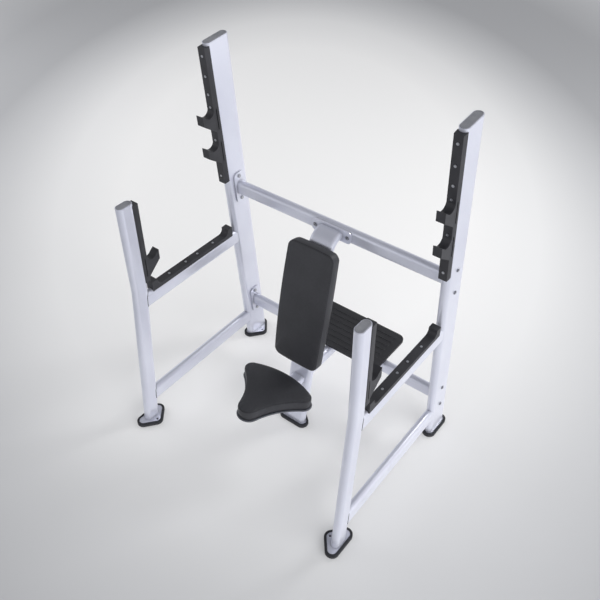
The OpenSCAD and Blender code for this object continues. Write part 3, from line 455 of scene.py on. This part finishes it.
def fill_cover(pad, held, swell):
    """Fills a pad's cover as cloth. The held points stay, and no other moves further than swell."""
    pad.vertex_groups.new(name="held").add(held, 1.0, "REPLACE")
    cover = pad.modifiers.new("cover", "CLOTH")
    cloth = cover.settings
    cloth.quality = 4
    cloth.mass = 0.25
    cloth.tension_stiffness = 20.0
    cloth.compression_stiffness = 20.0
    cloth.bending_stiffness = 2.0
    cloth.use_pressure = True
    cloth.uniform_pressure_force = 4.0
    cloth.effector_weights.gravity = 0.0
    cloth.vertex_group_mass = "held"
    cover.point_cache.frame_start = 1
    cover.point_cache.frame_end = fill_steps
    for step in range(1, fill_steps + 1):
        scene.frame_set(step)
    evaluated = pad.evaluated_get(bpy.context.evaluated_depsgraph_get())
    filled = [v.co.copy() for v in evaluated.to_mesh().vertices]
    evaluated.to_mesh_clear()
    pad.modifiers.remove(cover)
    pad.vertex_groups.clear()
    scene.frame_set(1)
    for vertex, end in zip(pad.data.vertices, filled):
        move = end - vertex.co
        if move.length > swell:
            move *= swell / move.length
        vertex.co += move


def sew_seam(pad, sewn):
    """Rounds a pad by one subdivision and marks how near each point lies to its seam."""
    stitches = KDTree(len(sewn))
    for i, index in enumerate(sewn):
        stitches.insert(pad.data.vertices[index].co, i)
    stitches.balance()
    smooth = pad.modifiers.new("smooth", "SUBSURF")
    smooth.levels = 1
    smooth.render_levels = 1
    pad.data = bpy.data.meshes.new_from_object(
        pad.evaluated_get(bpy.context.evaluated_depsgraph_get()))
    pad.modifiers.remove(smooth)
    seam = pad.data.attributes.new("seam", "FLOAT", "POINT")
    for vertex in pad.data.vertices:
        *_, apart = stitches.find(vertex.co)
        seam.data[vertex.index].value = math.exp(-(apart / seam_spread) ** 2)


def stuffed_pad(name, cushion, seam_in, swell, skirt):
    """A closed pad in a cushion's space: a boxed side, a seam at the panel's edge and a crowned
    panel. Its cover is filled with the seam and the base held."""
    height = cushion.height
    edge_rise = 0.4
    crown = 6.0
    profile = [(5.5, -skirt), (3.6, 0.5 - skirt), (2.4, 2.0 - skirt),
               (1.1, height * 0.16 - skirt * 0.75), (0.3, height * 0.35 - skirt * 0.4),
               (0.0, height * widest_share), (0.1, height * 0.72), (0.4, height - 7.5),
               (0.8, height - 5.4), (1.3, height - 4.2), (1.9, height - 3.6),
               (1.9 + seam_in, height - 3.1), (2.0 + seam_in * 0.4, height - 2.4),
               (2.7, height - 1.5), (4.0, height - 0.7), (6.5, height - 0.1),
               (10.0, height + edge_rise)]
    base_rings = 3
    seam_ring = 11
    panel_rings = 18
    ease_rounds = 40
    form = bmesh.new()
    rings = [cushion.ring(form, depth, z) for depth, z in profile]
    centre = Vector((0.0, cushion.middle))
    edge = cushion.inset(profile[-1][0])
    for k in range(1, panel_rings):
        t = k / panel_rings
        z = height + edge_rise + (crown - edge_rise) * (1 - (1 - t) ** 2)
        rings.append([form.verts.new(cushion.spot(point.lerp(centre, t), z)) for point in edge])
    loft(form, rings)
    top = form.verts.new(cushion.spot(centre, height + crown))
    fan(form, rings[-1], top)
    bottom = form.verts.new(cushion.spot(centre, -skirt))
    fan(form, rings[0][::-1], bottom)
    panel = [v for ring in rings[len(profile):] for v in ring] + [top]
    for _ in range(ease_rounds):
        bmesh.ops.smooth_vert(form, verts=panel, factor=0.5,
                              use_axis_x=True, use_axis_y=True, use_axis_z=True)
    bmesh.ops.recalc_face_normals(form, faces=form.faces)
    form.verts.index_update()
    sewn = [v.index for v in rings[seam_ring]]
    held = [v.index for ring in rings[:base_rings] for v in ring] + sewn + [bottom.index]
    pad = piece_of(form, name)
    fill_cover(pad, held, swell)
    sew_seam(pad, sewn)
    skinned(pad, vinyl)
    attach(pad, "root")
    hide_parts(cushion.node)


back = Cushion("back_cushion", back_base, back_along, back_out, height=50.0, bow=8.0)
stuffed_pad("back_pad", back, seam_in=3.0, swell=0.0016, skirt=0.0)

# The seat arm and its bracket: a short level tube on the column and a folded plate on top of it,
# both steel and coated with the frame.
silver.on("seat_arm", "seat_bracket")

# The seat shell: a moulded tray in dark blue-grey under the seat, bolted to the bracket. Its lip
# stands out past the pad all round, leaves a narrow shadow gap, and turns in below.
seat_tilt = math.radians(6.0)
seat_up = Vector((0.0, math.sin(seat_tilt), math.cos(seat_tilt)))
seat_forward = Vector((0.0, -math.cos(seat_tilt), math.sin(seat_tilt)))
seat_base = column_stand + Vector((0.0, 0.0, 0.364)) - seat_up * 0.0417
seat = Cushion("seat_cushion", seat_base, seat_forward, seat_up, height=41.7, bow=0.0)
shell = Finish("seat_shell", Metallic=0.0, Specular_IOR_Level=0.5)
shell_dark = (0.100, 0.105, 0.122, 1.0)
shell_pale = (0.132, 0.138, 0.158, 1.0)
shell_grain = shell.noise(700.0)
shell_tone = (shell_grain * 0.5 + shell.noise(18.0) * 0.5).between(0.3, 0.7)
shell.feed("Base Color", shell_tone.blend(shell_dark, shell_pale))
shell.feed("Roughness", 0.36 + shell_grain * 0.12)
shell.bump(shell_grain, strength=0.12, distance=0.0003)
shell_profile = [(9.0, -9.5), (3.2, -8.9), (2.6, -7.0), (1.6, -6.8), (-3.8, -6.8), (-4.8, -7.3),
                 (-5.0, -8.6), (-4.7, -11.0), (-3.4, -13.6), (-0.8, -15.8), (3.4, -17.2),
                 (9.0, -17.9), (18.0, -18.2), (34.0, -18.2)]
shell_form = bmesh.new()
shell_rings = [seat.ring(shell_form, depth, z) for depth, z in shell_profile]
loft(shell_form, shell_rings)
for end in (0, -1):
    shell_centre = seat.spot(Vector((0.0, seat.middle)), shell_profile[end][1])
    fan(shell_form, shell_rings[end], shell_form.verts.new(shell_centre))
bmesh.ops.recalc_face_normals(shell_form, faces=shell_form.faces)
seat_shell = piece_of(shell_form, "seat_shell")
skinned(seat_shell, shell)
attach(seat_shell, "root")
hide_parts("seat_tray", "seat_board")

# The seat pad: a saddle with a round rear edge, hollow sides and a narrow nose that rises a little.
# It is upholstered as the back pad is, and its cover comes down over the board's edge.
stuffed_pad("seat_pad", seat, seam_in=1.0, swell=0.0012, skirt=6.5)

# The spotter's platform: a coated steel plate on two brackets behind the lower cross-beam, under a
# black rubber tread with ribs across it.
silver.on("platform_deck", "left_platform_bracket", "right_platform_bracket")
tread = Finish("tread_rubber", Metallic=0.0, Specular_IOR_Level=0.4)
tread_dark = (0.021, 0.021, 0.024, 1.0)
tread_pale = (0.032, 0.032, 0.036, 1.0)
tread_dust = (0.062, 0.062, 0.066, 1.0)
tread_pores = tread.noise(430.0, detail=3.0)
tread_bloom = tread.noise(12.0, detail=3.0)
sole_streaks = tread.stretched(30.0, 260.0, 260.0)
tread_brush = tread.noise(1.0, detail=3.0, rough=0.6, place=sole_streaks)
tread_tone = (tread_bloom * 0.5 + tread_brush * 0.5).between(0.35, 0.7)
trodden = tread_tone.blend(tread_dark, tread_pale)
tread.feed("Base Color", (tread.recess(0.010) * 0.8).blend(trodden, tread_dust))
tread.feed("Roughness", 0.50 + tread_bloom * 0.16)
tread.bump(tread_pores, strength=0.25, distance=0.0005)
tread.on("platform_tread")

# The fasteners: zinc-plated steel screws sunk in the guards, and socket bolts with nuts in the
# frame. Their turned faces have fine rings, and the sockets are darkened inside with painted shade.
zinc = Finish("zinc_plate", Metallic=0.9)
zinc_dull = (0.40, 0.41, 0.45, 1.0)
zinc_bright = (0.56, 0.57, 0.60, 1.0)
painted_socket_shade = (0.02, 0.02, 0.022, 1.0)
zinc_cloud = zinc.noise(220.0, detail=3.0)
zinc_turned = zinc.noise(2600.0, detail=1.0)
plated = zinc_cloud.between(0.3, 0.7).blend(zinc_dull, zinc_bright)
zinc.feed("Base Color", (zinc.recess(0.006) * 0.95).blend(plated, painted_socket_shade))
zinc.feed("Roughness", 0.22 + zinc_cloud * 0.14 + zinc_turned * 0.05)
zinc.bump(zinc_turned, strength=0.08, distance=0.0001)
zinc.on("rack_screws", "front_guard_screws", "rail_guard_screws", "cross_beam_bolts",
        "cross_beam_nuts", "flange_bolts", "flange_nuts", "back_pad_bolts", "seat_bolts",
        "platform_bolts")

# The studio: a pale paper floor with a painted pool of light under the bench, greyer round it and
# glowing for camera and glossy rays. A small soft box stands behind, a wide soft fill at each side,
# and the surround is palest at the horizon.
floor_form = bmesh.new()
bmesh.ops.create_grid(floor_form, x_segments=1, y_segments=1, size=30.0)
floor = piece_of(floor_form, "studio_floor")
floor.location = (0.0, 0.0, -0.0005)
paper = Finish("studio_paper", Metallic=0.0, Specular_IOR_Level=0.1, Emission_Strength=1.0)
paper_run = Vector((-0.611, 0.792, 0.0))
paper_across = Vector((0.792, 0.611, 0.0))
pool_squeeze = 0.6
pool_shift = 1.5
pool_edge = 5.0
black = (0.0, 0.0, 0.0, 1.0)


def paper_reach(direction):
    return paper.root.add("VectorMath", {0: paper.place, 1: tuple(direction)}, out="Value",
                          operation="DOT_PRODUCT")


pool_along = paper_reach(paper_run * pool_squeeze) - pool_shift
pool = (pool_along ** 2.0 + paper_reach(paper_across) ** 2.0) ** 0.5
painted_light_pool = pool.add("ValToRGB", {0: pool * (1 / pool_edge)}, stops=(
    (0.0, (1.0, 0.997, 0.990)), (0.25, (0.99, 0.987, 0.982)), (0.34, (0.88, 0.88, 0.882)),
    (0.42, (0.66, 0.664, 0.675)), (0.50, (0.48, 0.485, 0.50)), (0.64, (0.48, 0.485, 0.50)),
    (1.0, (0.80, 0.806, 0.82))))
distance = pool.between(2.6, 9.0)
light_paths = ("Is Camera Ray", "Is Glossy Ray", "Is Transmission Ray")
seen = paper.root.add("LightPath", out=light_paths[0])
for light_path in light_paths[1:]:
    seen = seen + paper.root.add("LightPath", out=light_path)
seen = paper.root.sum("MINIMUM", seen, 1.0)
# Painted light: the floor's tone is a pool of light, and camera and glossy rays also see it glow.
paper.feed("Base Color", (0.9 - seen * 0.18).blend(black, painted_light_pool))
paper.feed("Emission Color", (seen * (0.29 + distance * 0.48)).blend(black, painted_light_pool))
paper.feed("Roughness", 0.75 + paper.noise(40.0) * 0.1)
floor.data.materials.append(paper.material)

for lamp_name, place, target, width, height, power in (
        ("back_box", (1.6, 3.6, 3.3), (0.2, 0.0, 0.6), 1.2, 1.2, 60.0),
        ("left_fill", (-5.4, -0.9, 2.2), (0.0, 0.0, 0.8), 5.0, 3.0, 105.0),
        ("right_fill", (6.5, -0.7, 2.4), (0.0, 0.0, 0.8), 7.5, 3.4, 385.0)):
    lamp_data = bpy.data.lights.new(lamp_name, "AREA")
    lamp_data.shape = "RECTANGLE"
    lamp_data.size = width
    lamp_data.size_y = height
    lamp_data.energy = power
    lamp = bpy.data.objects.new(lamp_name, lamp_data)
    lamp.location = place
    lamp.visible_glossy = lamp_name == "back_box"
    lamp.rotation_euler = (Vector(target) - Vector(place)).to_track_quat("-Z", "Y").to_euler()
    scene.collection.objects.link(lamp)

studio = bpy.data.worlds.new("studio")
studio.use_nodes = True
scene.world = studio
horizon = (0.88, 0.885, 0.905, 1.0)
zenith = (0.20, 0.205, 0.22, 1.0)
air = Strand(studio.node_tree)
rise = air.add("SeparateXYZ", {0: air.add("TexCoord", out="Generated")}, out="Z")
surround = rise.between(0.05, 0.9).blend(horizon, zenith)
background = studio.node_tree.nodes["Background"].inputs
studio.node_tree.links.new(surround.socket, background["Color"])
background["Strength"].default_value = 1.0
bpy.context.scene.view_settings.view_transform = "Standard"
